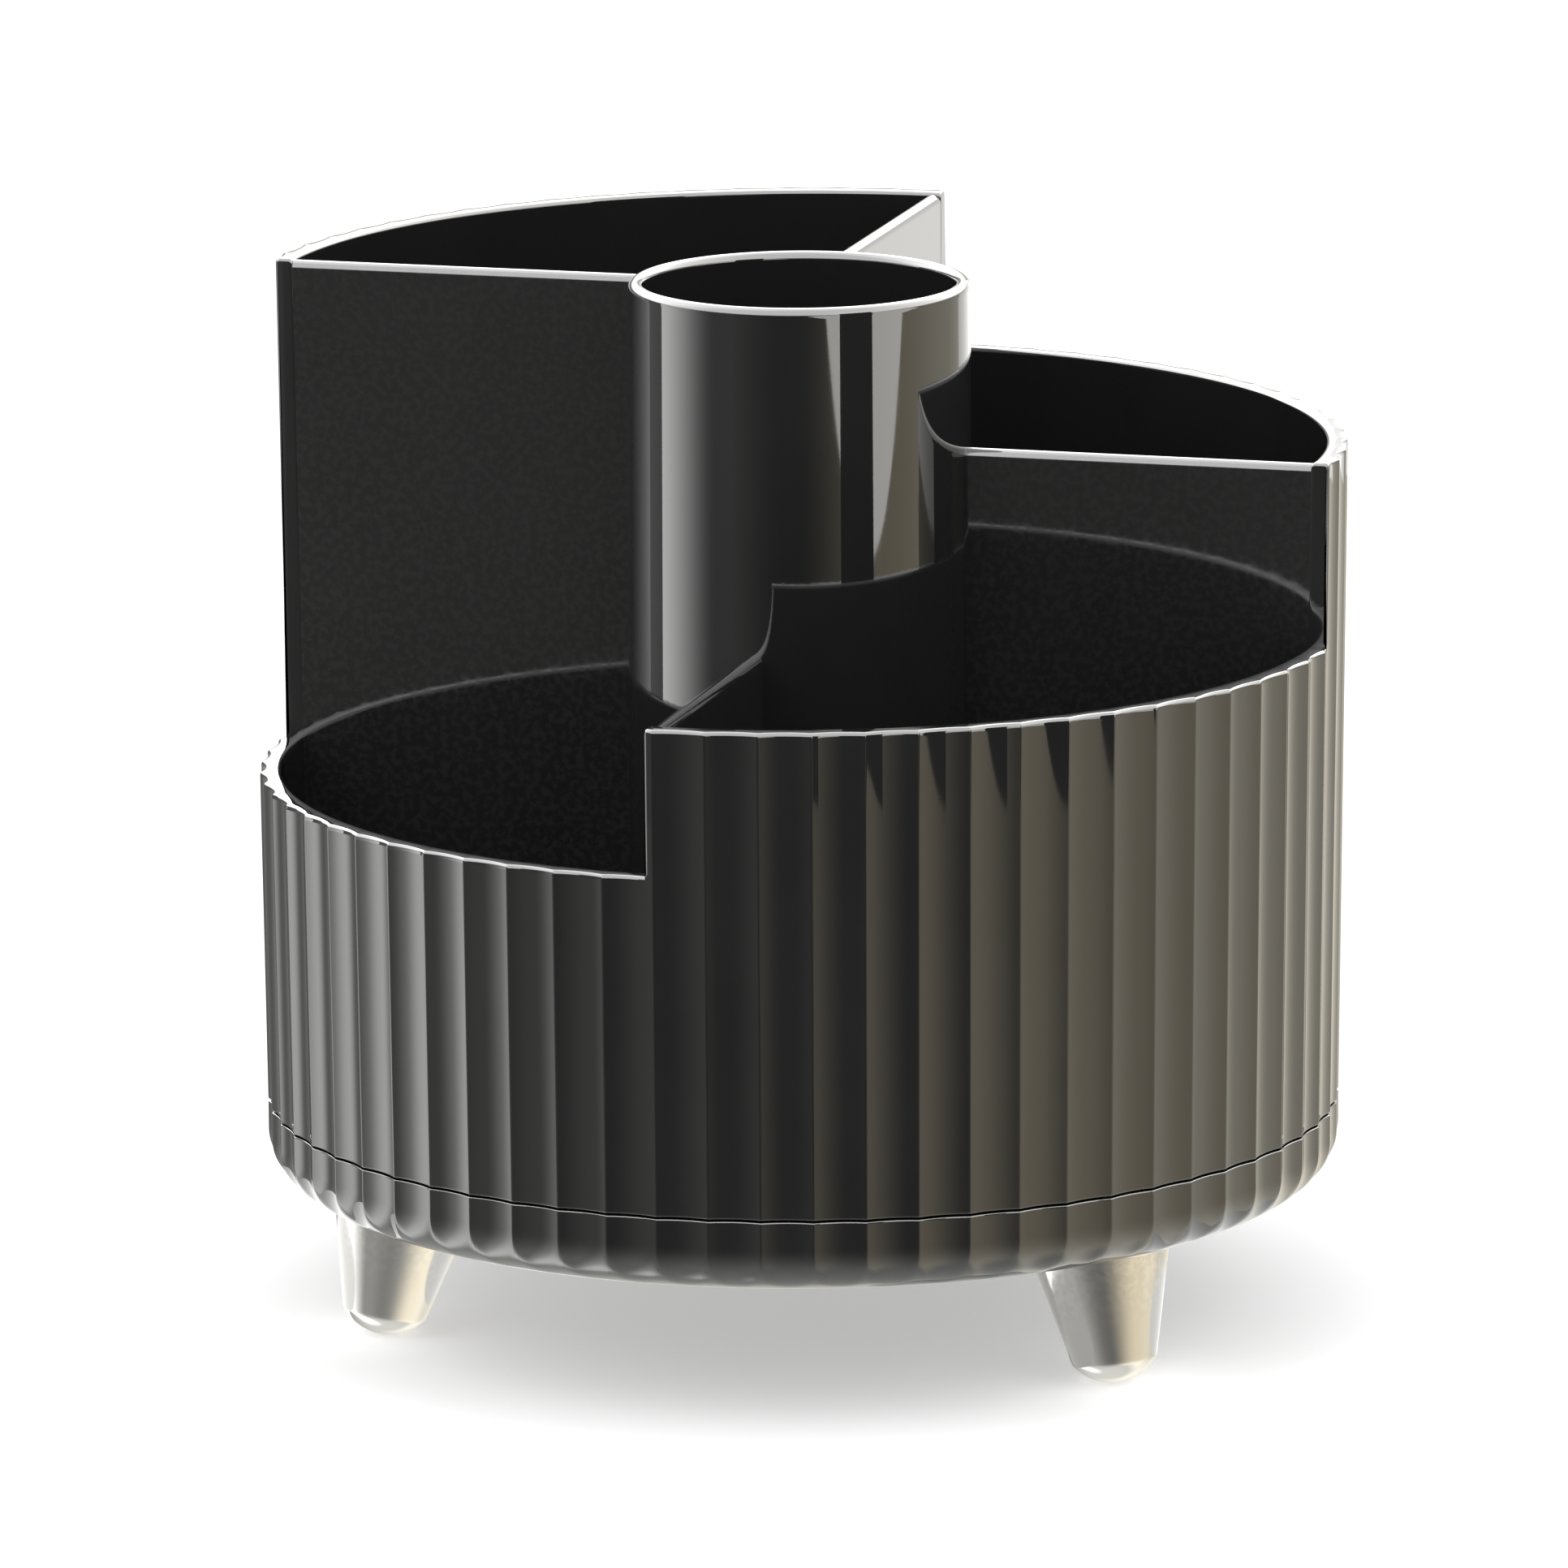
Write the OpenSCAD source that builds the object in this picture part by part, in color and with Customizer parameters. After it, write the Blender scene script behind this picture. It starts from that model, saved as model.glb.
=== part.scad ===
// Rotating makeup organizer. A fluted, stepped cup with four open pockets round a brush tube
// turns on a ball race above a low fluted dish, which stands on three splayed feet.
// Millimetres, +Z up. The origin is on the table, under the turning axis. The dividers lie on
// the X and Y axes, and one foot points along +Y.

/* [Cup] */
// Radius over the flute crests, at the seam between cup and dish
seam_r = 79.7; // [74:0.1:90]
// Draft of the cup's outer wall, in degrees
draft = 0.57; // [0.3:0.01:0.8]
// Height of the tallest pocket's rim, and of the brush tube
tall_h = 155.2; // [142:0.1:180]
// Height of the second pocket's rim
high_h = 131.5; // [118:0.1:140]
// Height of the third pocket's rim
mid_h = 104.3; // [94:0.1:116]
// Height of the lowest pocket's rim
low_h = 82.8; // [60:0.1:92]
// Thickness of the outer wall, measured at a flute crest
wall_t = 3.2; // [2.6:0.1:4]
// Rounding of the two edges of the outer wall's flat rim
rim_round = 0.6; // [0.4:0.05:0.8]
// Thickness of the dividers
divider_t = 2.4; // [1.8:0.1:3.2]
// How far the dividers' tops lie below the rims
divider_drop = 0.3; // [0.2:0.05:0.8]
// Thickness of the cup's floor
floor_t = 2.4; // [2:0.1:4]
// Outer radius of the brush tube at its rim
tube_r = 25.2; // [22:0.1:30]
// Wall thickness of the brush tube
tube_t = 2.3; // [1.6:0.1:3]

/* [Flutes] */
// Flutes round the cup and the dish
flute_count = 66; // [60:2:68]
// Radius of one concave flute
flute_r = 8; // [7:0.1:8.5]
// Depth of a flute's bottom under its crests
flute_depth = 1; // [0.7:0.05:1.1]
// Angle of the narrow land left on each crest, in degrees
crest_land = 0.12; // [0.08:0.01:0.3]
// How much the flutes lift as they turn under the dish's lower edge, where they run out
flute_fade = 1.15; // [1.12:0.01:1.3]

/* [Dish] */
// Height of the seam: the dish's upper edge
seam_z = 32.7; // [31.5:0.1:34]
// Visible slot between the dish's edge and the cup
seam_gap = 0.6; // [0.4:0.1:1]
// Height of the dish's underside above the table
dish_z = 21.5; // [18:0.1:21.8]
// Rounding of the dish's lower edge
dish_round = 7; // [6:0.1:8]
// Wall thickness of the dish, measured at a flute crest
dish_t = 3.2; // [2.8:0.1:3.6]
// Thickness of the dish's floor
dish_floor_t = 2.4; // [2:0.1:2.8]
// Stiffening ribs on each side of the dish's floor ring
dish_rib_count = 6; // [3:3:12]
// Thickness of the stiffening ribs
rib_t = 1.6; // [1.2:0.1:2.2]

/* [Cup underside] */
// How far the skirt that closes the seam from inside lies within the crests
skirt_inset = 4.1; // [3.9:0.1:5.7]
// Thickness of the skirt
skirt_t = 1.6; // [1.2:0.1:2.2]
// Depth of the skirt below the cup's floor
skirt_h = 2.6; // [1.8:0.1:3]
// Ribs between the race seat and the skirt
cup_rib_count = 12; // [6:2:18]
// Depth of these ribs
cup_rib_h = 2; // [1:0.1:2.4]

/* [Feet] */
// Number of feet
foot_count = 3; // [3:1:4]
// How far a foot's end stands within the flute crests
foot_inset = 14.8; // [13.7:0.1:21]
// Outward lean of a foot, in degrees
foot_splay = 10.5; // [4:0.1:12]
// Radius of a foot where its domed end starts
foot_end_r = 6.25; // [5.5:0.05:6.8]
// Height of the domed end
foot_dome_h = 3.3; // [2.5:0.1:4]
// Half angle of the foot's taper, in degrees
foot_taper = 13.9; // [10:0.1:14.5]
// Depth ground off the domed end for the table
foot_flat = 0.1; // [0.05:0.01:0.3]
// How far the collar stands out from the foot
collar_step = 0.45; // [0.2:0.05:0.6]
// Height of the collar under the dish
collar_h = 1.1; // [0.8:0.1:1.6]
// Shank radius of a foot screw
foot_screw_r = 2; // [1.5:0.1:2.4]
// Length of a foot screw's shank below its washer
foot_screw_l = 14; // [10:0.1:15]
// Head radius of a foot screw
foot_head_r = 3.8; // [3.2:0.1:4.4]
// Head height of a foot screw
foot_head_h = 2.2; // [1.6:0.1:2.6]
// Radius of a foot washer
foot_washer_r = 4.8; // [4.4:0.1:5.6]
// Thickness of a foot washer
foot_washer_t = 0.8; // [0.5:0.1:1]
// Radius of the boss under a foot washer
foot_boss_r = 7; // [6:0.1:8]
// Height of that boss above the dish's floor
foot_boss_h = 1.6; // [1.4:0.1:2]

/* [Ball race] */
// Ball radius
ball_r = 2.5; // [2.3:0.05:2.6]
// Number of balls
ball_count = 18; // [12:1:24]
// Running clearance round a ball
ball_play = 0.06; // [0.03:0.01:0.1]
// Thickness of a race plate
race_t = 1.6; // [1.4:0.1:1.8]
// Height from the ball circle to a race plate's face
race_lift = 1.7; // [1.5:0.05:1.9]
// Outer radius of a race plate
race_out_r = 40.8; // [39:0.1:43]
// Radial width of a race plate
race_w = 14.2; // [13.6:0.1:15]
// Distance of the ball circle from a race plate's outer edge
ball_inset = 4.8; // [4:0.1:5.2]
// How far a moulded seat stays inside a race plate's edges
seat_step = 0.8; // [0.4:0.1:1.2]
// Clearance between a race plate's edge and the cup's ribs
seat_play = 0.4; // [0.3:0.1:0.8]
// Radial width of the ball cage
cage_w = 6.4; // [6:0.1:7]
// Thickness of the ball cage
cage_t = 1.8; // [1.4:0.1:2.2]
// Screws through each race plate
race_screw_count = 4; // [3:1:6]
// Distance of the screw circle from a race plate's inner edge
race_screw_inset = 2.8; // [2.6:0.1:3.2]
// Shank radius of a race screw
race_screw_r = 1.25; // [1:0.05:1.4]
// Length of a race screw with its sunk head
race_screw_l = 4.4; // [3.6:0.1:4.8]
// Head radius of a race screw
race_head_r = 2.4; // [2.1:0.1:2.6]
// Depth of the sunk head
race_head_h = 1.1; // [0.9:0.05:1.2]

/* [Pivot] */
// Radius of the dish's hub
hub_r = 13; // [12:0.1:15]
// Height of the hub's top under the cup's floor
hub_drop = 1.8; // [1.6:0.1:2.4]
// Radius of the recess under the hub
recess_r = 9.6; // [9.2:0.1:10.5]
// Thickness of the hub's web
web_t = 4.8; // [4:0.1:5.4]
// Shoulder radius of the pivot bolt
shoulder_r = 4; // [3.6:0.1:4.4]
// Running clearance of the shoulder in its bush
shoulder_play = 0.06; // [0.03:0.01:0.1]
// Outer radius of the bush
bush_r = 5.5; // [5.2:0.1:6]
// Radius of the bush's flange
flange_r = 8.4; // [7.8:0.1:8.8]
// Thickness of the bush's flange
flange_t = 1; // [0.8:0.1:1.2]
// Axial play between the bush's flange and the thrust washer
thrust_play = 0.05; // [0.03:0.01:0.1]
// Thickness of the thrust washer
thrust_t = 0.6; // [0.5:0.1:0.8]
// Thickness of the spring washer
spring_t = 0.5; // [0.4:0.05:0.6]
// Gap in the split spring washer
spring_split = 0.8; // [0.4:0.1:1.2]
// Head radius of the pivot bolt
bolt_head_r = 7.2; // [6.4:0.1:7.8]
// Head height of the pivot bolt
bolt_head_h = 1.9; // [1.6:0.1:2]
// Thread radius of the pivot bolt
bolt_thread_r = 2.5; // [2:0.1:3]
// Thread length of the pivot bolt
bolt_thread_l = 7.4; // [5:0.1:8]
// Width across flats of the bolt's hexagon socket
socket_w = 5; // [4:0.1:6]
// Depth of the bolt's hexagon socket
socket_h = 1.3; // [1:0.1:1.4]
// Outer radius of the threaded insert
insert_r = 4.2; // [3.8:0.1:4.6]
// Length of the threaded insert
insert_l = 8; // [7.6:0.1:9]
// Wall of the boss round the threaded insert
boss_wall = 2.8; // [2:0.1:3.4]
// Thickness of the cap that closes the recess
cap_t = 0.8; // [0.6:0.1:0.9]
// Clearance round the cap
cap_play = 0.1; // [0.05:0.01:0.2]

/* [Fits] */
// Clearance round a screw shank in a through hole
hole_play = 0.2; // [0.1:0.05:0.4]
// How far a cutter runs past a face
overrun = 1; // [0.5:0.1:2]

/* [Hidden] */
$fn = 96;

// Share of the gap over the hub that lies below the insert
insert_share = 0.25;
// Width of a screw head's cross slot, as a share of the head's radius
slot_share = 0.2;
// Height of the rim's rounding as a share of its radius, so it meets the flat at a slight angle
round_share = 0.985;

cup_z = seam_z + seam_gap;
divider_rim_r = divider_t / 2;
tube_rim_r = tube_t / 2;
pitch = 360 / flute_count;
cut_r = flute_r - flute_depth;
dish_floor_z = dish_z + dish_floor_t;
ball_z = (dish_floor_z + cup_z) / 2;
race_in_r = race_out_r - race_w;
ball_pitch_r = race_out_r - ball_inset;
race_screw_pitch_r = race_in_r + race_screw_inset;
hub_top_z = cup_z - hub_drop;
web_z = hub_top_z - web_t;
flange_z = web_z - flange_t;
thrust_z = flange_z - thrust_play - thrust_t;
spring_z = thrust_z - spring_t;
bolt_z = spring_z - bolt_head_h;
insert_z = hub_top_z + hub_drop * insert_share;
boss_r = insert_r + boss_wall;
dome_r = (pow(foot_end_r, 2) + pow(foot_dome_h, 2)) / (2 * foot_dome_h);
foot_tip_r = seam_r - foot_inset;
skirt_r = seam_r - skirt_inset;
foot_axis_r = foot_tip_r - dish_z * tan(foot_splay);
foot_l = dish_z / cos(foot_splay) + foot_end_r;
foot_top_r = foot_end_r + (foot_l - foot_dome_h) * tan(foot_taper);
collar_r = foot_end_r + (dish_z - foot_dome_h) * tan(foot_taper) + collar_step;
foot_boss_z = dish_floor_z + foot_boss_h;
skirt_z = cup_z - skirt_h;

// Outer radius of the cup over the crests at a height
function outer_r(z) = seam_r + (z - seam_z) * tan(draft);

// Outer radius of the brush tube at a height, with the same draft as the wall
function tube_out_r(z) = tube_r + (tall_h - z) * tan(draft) / 2;

// A quarter of the plan. Its first edge lies before or after the divider that it starts at, and
// its last edge likewise, so the quarters meet face to face and the taller one takes the divider.
module quarter(turn, top, first, last) {
  size = seam_r + wall_t + overrun;
  rotate([0, 0, turn])
    translate([last * divider_t / 2, first * divider_t / 2, cup_z - overrun])
      cube([size, size, top - cup_z + 2 * overrun]);
}

// Section of the outer wall, with its flat rim and rounded edges
module wall_section(h) {
  z = h - rim_round * round_share;
  inner = outer_r(z) - wall_t;
  flat = wall_t - 2 * rim_round;
  intersection() {
    union() {
      polygon([
        [outer_r(cup_z) - wall_t, cup_z], [outer_r(cup_z), cup_z], [outer_r(z), z], [inner, z]
      ]);
      translate([inner + rim_round, z]) {
        square([flat, rim_round]);
        circle(r = rim_round);
        translate([flat, 0]) circle(r = rim_round);
      }
    }
    translate([0, cup_z]) square([outer_r(h) + overrun, h - cup_z]);
  }
}

// One pocket's share of the outer wall
module wall_quarter(turn, h, first, last) {
  intersection() {
    rotate_extrude() wall_section(h);
    quarter(turn, h, first, last);
  }
}

// Divider from inside the tube's wall to inside the outer wall, with a full round top
module divider(turn, h) {
  top = h - divider_drop - divider_rim_r;
  inner = tube_r - tube_t / 2;
  outer = outer_r(cup_z) - wall_t / 2;
  rotate([0, 0, turn]) {
    translate([inner, -divider_t / 2, cup_z + floor_t / 2])
      cube([outer - inner, divider_t, top - cup_z - floor_t / 2]);
    translate([inner, 0, top]) rotate([0, 90, 0]) cylinder(h = outer - inner, r = divider_rim_r);
  }
}

// Section of the brush tube
module tube_section() {
  z = tall_h - tube_rim_r;
  polygon([
    [tube_out_r(cup_z) - tube_t, cup_z + floor_t / 2],
    [tube_out_r(cup_z), cup_z + floor_t / 2],
    [tube_out_r(z), z],
    [tube_out_r(z) - tube_t, z]
  ]);
  translate([tube_out_r(z) - tube_rim_r, z]) circle(r = tube_rim_r);
}

// Wedge between two crests' lands, which keeps each flute cutter to its own pitch
module flute_wedge(low, high) {
  half = (pitch - crest_land) / 2;
  near = seam_r / 2;
  far = seam_r + flute_r;
  translate([0, 0, low]) linear_extrude(height = high - low)
    polygon([
      [near * cos(half), -near * sin(half)], [far, -far * tan(half)],
      [far, far * tan(half)], [near * cos(half), near * sin(half)]
    ]);
}

// Straight flute cutters that lean with the draft
module cup_flutes() {
  low = cup_z - overrun;
  for (i = [0 : flute_count - 1])
    rotate([0, 0, (i + 0.5) * pitch + 90]) intersection() {
      translate([outer_r(low) + cut_r, 0, low]) rotate([0, draft, 0])
        cylinder(h = tall_h - cup_z + 3 * overrun, r = flute_r);
      flute_wedge(low - overrun, tall_h + overrun);
    }
}

// Race seat, skirt, ribs and boss under and over the cup's floor
module cup_underside() {
  translate([0, 0, ball_z + race_lift + race_t]) difference() {
    cylinder(h = cup_z - ball_z - race_lift - race_t + floor_t / 2, r = race_out_r - seat_step);
    translate([0, 0, -overrun])
      cylinder(h = cup_z - ball_z + floor_t, r = race_in_r + seat_step);
  }
  translate([0, 0, skirt_z]) difference() {
    cylinder(h = skirt_h + floor_t / 2, r = skirt_r);
    translate([0, 0, -overrun]) cylinder(h = skirt_h + floor_t + overrun, r = skirt_r - skirt_t);
  }
  for (i = [0 : cup_rib_count - 1])
    rotate([0, 0, (i + 0.5) * 360 / cup_rib_count])
      translate([race_out_r + seat_play, -rib_t / 2, cup_z - cup_rib_h])
        cube([skirt_r - skirt_t / 2 - race_out_r - seat_play, rib_t, cup_rib_h + floor_t / 2]);
  translate([0, 0, insert_z]) cylinder(h = insert_l + boss_wall / 2, r = boss_r);
}

// Holes for the threaded insert and the upper race's screws
module cup_holes() {
  translate([0, 0, insert_z - overrun]) cylinder(h = insert_l + overrun, r = insert_r);
  for (i = [0 : race_screw_count - 1])
    rotate([0, 0, (i + 0.5) * 360 / race_screw_count])
      translate([race_screw_pitch_r, 0, ball_z + race_lift])
        cylinder(h = race_screw_l, r = race_screw_r);
}

// One moulding: stepped fluted wall, dividers, brush tube and floor
module fluted_cup() {
  color("#202021") difference() {
    union() {
      wall_quarter(90, tall_h, -1, -1);
      wall_quarter(0, high_h, -1, 1);
      wall_quarter(270, mid_h, -1, 1);
      wall_quarter(180, low_h, 1, 1);
      divider(90, tall_h);
      divider(180, tall_h);
      divider(0, high_h);
      divider(270, mid_h);
      rotate_extrude() tube_section();
      translate([0, 0, cup_z]) cylinder(h = floor_t, r = outer_r(cup_z) - wall_t / 2);
      cup_underside();
    }
    cup_flutes();
    cup_holes();
  }
}

// Flute cutter for the dish: straight, then round the lower edge on a wider turn, so it runs out
module dish_flute() {
  path_r = dish_round + cut_r + flute_fade;
  intersection() {
    translate([seam_r - dish_round - flute_fade, 0, dish_z + dish_round]) {
      translate([path_r, 0, 0])
        cylinder(h = seam_z - dish_z - dish_round + overrun, r = flute_r);
      rotate([-90, 0, 0]) rotate_extrude(angle = 90) translate([path_r, 0]) circle(r = flute_r);
    }
    flute_wedge(dish_z - 2 * flute_r, seam_z + 2 * overrun);
  }
}

// Outer form of the dish before its flutes
module dish_block() {
  rotate_extrude() {
    translate([0, dish_z]) square([seam_r - dish_round, seam_z - dish_z]);
    translate([0, dish_z + dish_round]) square([seam_r, seam_z - dish_z - dish_round]);
    intersection() {
      translate([seam_r - dish_round, dish_z + dish_round]) circle(r = dish_round);
      translate([0, dish_z]) square([seam_r, dish_round]);
    }
  }
}

// Hollow of the dish
module dish_hollow() {
  r = seam_r - dish_t;
  round_r = dish_round - dish_floor_t;
  rotate_extrude() {
    translate([0, dish_floor_z]) square([r - round_r, seam_z - dish_floor_z + overrun]);
    translate([0, dish_floor_z + round_r])
      square([r, seam_z - dish_floor_z - round_r + overrun]);
    translate([r - round_r, dish_floor_z + round_r]) circle(r = round_r);
  }
}

// Race seat, hub, ribs and foot bosses on the dish's floor
module dish_inside() {
  seat_z = ball_z - race_lift - race_t;
  translate([0, 0, dish_floor_z - dish_floor_t / 2]) difference() {
    cylinder(h = seat_z - dish_floor_z + dish_floor_t / 2, r = race_out_r - seat_step);
    translate([0, 0, -overrun])
      cylinder(h = seat_z - dish_floor_z + dish_floor_t + 2 * overrun, r = race_in_r + seat_step);
  }
  translate([0, 0, dish_z]) cylinder(h = hub_top_z - dish_z, r = hub_r);
  for (i = [0 : dish_rib_count - 1])
    rotate([0, 0, (i + 0.5) * 360 / dish_rib_count])
      translate([hub_r / 2, -rib_t / 2, dish_floor_z - dish_floor_t / 2])
        cube([seam_r - dish_round - hub_r / 2, rib_t, seat_z - dish_floor_z + dish_floor_t / 2]);
  for (i = [0 : foot_count - 1])
    rotate([0, 0, 90 + i * 360 / foot_count])
      translate([foot_axis_r, 0, dish_floor_z - dish_floor_t / 2])
        cylinder(h = foot_boss_h + dish_floor_t / 2, r = foot_boss_r);
}

// Bores of the dish: the hub's recess and bush seat, foot screws and race screws
module dish_holes() {
  translate([0, 0, dish_z - overrun]) cylinder(h = web_z - dish_z + overrun, r = recess_r);
  translate([0, 0, web_z - overrun]) cylinder(h = web_t + 2 * overrun, r = bush_r);
  for (i = [0 : foot_count - 1])
    rotate([0, 0, 90 + i * 360 / foot_count])
      translate([foot_axis_r, 0, dish_z - overrun])
        cylinder(h = foot_boss_z - dish_z + 2 * overrun, r = foot_screw_r + hole_play);
  for (i = [0 : race_screw_count - 1])
    rotate([0, 0, (i + 0.5) * 360 / race_screw_count])
      translate([race_screw_pitch_r, 0, ball_z - race_lift - race_screw_l])
        cylinder(h = race_screw_l, r = race_screw_r);
}

// Fluted dish that carries the cup
module base_dish() {
  color("#202021") difference() {
    union() {
      difference() {
        dish_block();
        for (i = [0 : flute_count - 1]) rotate([0, 0, (i + 0.5) * pitch + 90]) dish_flute();
        dish_hollow();
      }
      dish_inside();
    }
    dish_holes();
  }
}

// Tapered foot with a domed end, leaning outward, cut level under the dish and at the table
module foot(index) {
  color("#c9c9c8") rotate([0, 0, 90 + index * 360 / foot_count]) difference() {
    union() {
      intersection() {
        translate([foot_tip_r, 0, -foot_flat]) rotate([0, -foot_splay, 0]) rotate_extrude() {
          intersection() {
            translate([0, dome_r]) circle(r = dome_r);
            square([foot_end_r, foot_dome_h]);
          }
          polygon([
            [0, foot_dome_h], [foot_end_r, foot_dome_h], [foot_top_r, foot_l], [0, foot_l]
          ]);
        }
        translate([foot_axis_r - 2 * foot_top_r, -2 * foot_top_r, 0])
          cube([4 * foot_top_r, 4 * foot_top_r, dish_z]);
      }
      translate([foot_axis_r, 0, dish_z - collar_h]) cylinder(h = collar_h, r = collar_r);
    }
    translate([foot_axis_r, 0, foot_boss_z - foot_screw_l])
      cylinder(h = foot_screw_l, r = foot_screw_r);
  }
}

// Pan-head screws that hold the feet, from inside the dish
module foot_screws() {
  color("#b8b8ba") for (i = [0 : foot_count - 1])
    rotate([0, 0, 90 + i * 360 / foot_count]) translate([foot_axis_r, 0, foot_boss_z]) {
      translate([0, 0, -foot_screw_l])
        cylinder(h = foot_screw_l + foot_washer_t, r = foot_screw_r);
      translate([0, 0, foot_washer_t]) difference() {
        cylinder(h = foot_head_h, r = foot_head_r);
        for (turn = [0, 90]) rotate([0, 0, turn])
          translate([-foot_head_r / 2, -foot_head_r * slot_share / 2, foot_head_h / 2])
            cube([foot_head_r, foot_head_r * slot_share, foot_head_h]);
      }
    }
}

// Flat washers under the foot screws
module foot_washers() {
  color("#b8b8ba") for (i = [0 : foot_count - 1])
    rotate([0, 0, 90 + i * 360 / foot_count]) translate([foot_axis_r, 0, foot_boss_z])
      difference() {
        cylinder(h = foot_washer_t, r = foot_washer_r);
        translate([0, 0, -overrun])
          cylinder(h = foot_washer_t + 2 * overrun, r = foot_screw_r);
      }
}

// Steel race plate with its ball groove and sunk screw holes; z runs away from the balls
module race_plate() {
  difference() {
    translate([0, 0, race_lift]) cylinder(h = race_t, r = race_out_r);
    translate([0, 0, race_lift - overrun]) cylinder(h = race_t + 2 * overrun, r = race_in_r);
    rotate_extrude() translate([ball_pitch_r, 0]) circle(r = ball_r + ball_play);
    for (i = [0 : race_screw_count - 1])
      rotate([0, 0, (i + 0.5) * 360 / race_screw_count])
        translate([race_screw_pitch_r, 0, race_lift]) {
          cylinder(h = race_head_h, r1 = race_head_r, r2 = race_screw_r);
          cylinder(h = race_t + overrun, r = race_screw_r);
        }
  }
}

// Sunk-head screws of one race plate
module race_screws() {
  for (i = [0 : race_screw_count - 1])
    rotate([0, 0, (i + 0.5) * 360 / race_screw_count])
      translate([race_screw_pitch_r, 0, race_lift]) difference() {
        union() {
          cylinder(h = race_head_h, r1 = race_head_r, r2 = race_screw_r);
          cylinder(h = race_screw_l, r = race_screw_r);
        }
        for (turn = [0, 90]) rotate([0, 0, turn])
          translate([-race_head_r / 2, -race_head_r * slot_share / 2, -race_head_h / 2])
            cube([race_head_r, race_head_r * slot_share, race_head_h]);
      }
}

// Race plate screwed to the dish
module lower_race() {
  color("#8f9296") translate([0, 0, ball_z]) mirror([0, 0, 1]) race_plate();
}

// Race plate screwed to the cup
module upper_race() {
  color("#8f9296") translate([0, 0, ball_z]) race_plate();
}

// Screws of the lower race plate
module lower_race_screws() {
  color("#b8b8ba") translate([0, 0, ball_z]) mirror([0, 0, 1]) race_screws();
}

// Screws of the upper race plate
module upper_race_screws() {
  color("#b8b8ba") translate([0, 0, ball_z]) race_screws();
}

// Ring that spaces the balls
module ball_cage() {
  color("#e8e6df") translate([0, 0, ball_z - cage_t / 2]) difference() {
    cylinder(h = cage_t, r = ball_pitch_r + cage_w / 2);
    translate([0, 0, -overrun]) cylinder(h = cage_t + 2 * overrun, r = ball_pitch_r - cage_w / 2);
    for (i = [0 : ball_count - 1])
      rotate([0, 0, i * 360 / ball_count]) translate([ball_pitch_r, 0, -overrun])
        cylinder(h = cage_t + 2 * overrun, r = ball_r + ball_play);
  }
}

// Steel balls
module bearing_balls() {
  color("#d8dadc") for (i = [0 : ball_count - 1])
    rotate([0, 0, i * 360 / ball_count]) translate([ball_pitch_r, 0, ball_z]) sphere(r = ball_r);
}

// Flanged plain bush in the hub
module pivot_bush() {
  color("#ece9e0") difference() {
    union() {
      translate([0, 0, flange_z]) cylinder(h = flange_t, r = flange_r);
      translate([0, 0, web_z]) cylinder(h = web_t, r = bush_r);
    }
    translate([0, 0, flange_z - overrun])
      cylinder(h = web_t + flange_t + 2 * overrun, r = shoulder_r + shoulder_play);
  }
}

// Thrust washer that runs on the bush's flange
module thrust_washer() {
  color("#c2b280") translate([0, 0, thrust_z]) difference() {
    cylinder(h = thrust_t, r = bolt_head_r + hole_play);
    translate([0, 0, -overrun])
      cylinder(h = thrust_t + 2 * overrun, r = shoulder_r + hole_play);
  }
}

// Split spring washer between the bolt's head and the thrust washer
module spring_washer() {
  color("#6f7276") translate([0, 0, spring_z]) difference() {
    cylinder(h = spring_t, r = bolt_head_r - hole_play);
    translate([0, 0, -overrun])
      cylinder(h = spring_t + 2 * overrun, r = shoulder_r + hole_play);
    translate([0, -spring_split / 2, -overrun])
      cube([bolt_head_r, spring_split, spring_t + 2 * overrun]);
  }
}

// Shoulder bolt on the turning axis, put in from below
module pivot_bolt() {
  color("#b8b8ba") difference() {
    union() {
      translate([0, 0, bolt_z]) cylinder(h = bolt_head_h, r = bolt_head_r);
      translate([0, 0, spring_z]) cylinder(h = insert_z - spring_z, r = shoulder_r);
      translate([0, 0, insert_z]) cylinder(h = bolt_thread_l, r = bolt_thread_r);
    }
    translate([0, 0, bolt_z - overrun])
      cylinder(h = socket_h + overrun, r = socket_w / (2 * cos(30)), $fn = 6);
  }
}

// Threaded insert moulded into the cup's boss
module threaded_insert() {
  color("#b5924a") translate([0, 0, insert_z]) difference() {
    cylinder(h = insert_l, r = insert_r);
    translate([0, 0, -overrun]) cylinder(h = bolt_thread_l + overrun, r = bolt_thread_r);
  }
}

// Cap that closes the recess under the hub
module hub_cap() {
  color("#1a1a1a") translate([0, 0, dish_z]) difference() {
    cylinder(h = bolt_z - dish_z - thrust_play, r = recess_r - cap_play);
    translate([0, 0, cap_t]) cylinder(h = bolt_z - dish_z, r = recess_r - cap_play - cap_t);
  }
}

fluted_cup();
base_dish();
foot(0);  // foot_rear
foot(1);  // foot_left
foot(2);  // foot_right
foot_screws();
foot_washers();
lower_race();
upper_race();
lower_race_screws();
upper_race_screws();
ball_cage();
bearing_balls();
pivot_bush();
thrust_washer();
spring_washer();
pivot_bolt();
threaded_insert();
hub_cap();
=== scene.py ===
"""Looks of the rotating makeup organizer: a fluted gloss-black cup on a dish with plated feet."""

import logging
import math
from dataclasses import dataclass, field
from enum import Enum

import bpy
import numpy as np
from mathutils import Matrix, Vector


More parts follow.
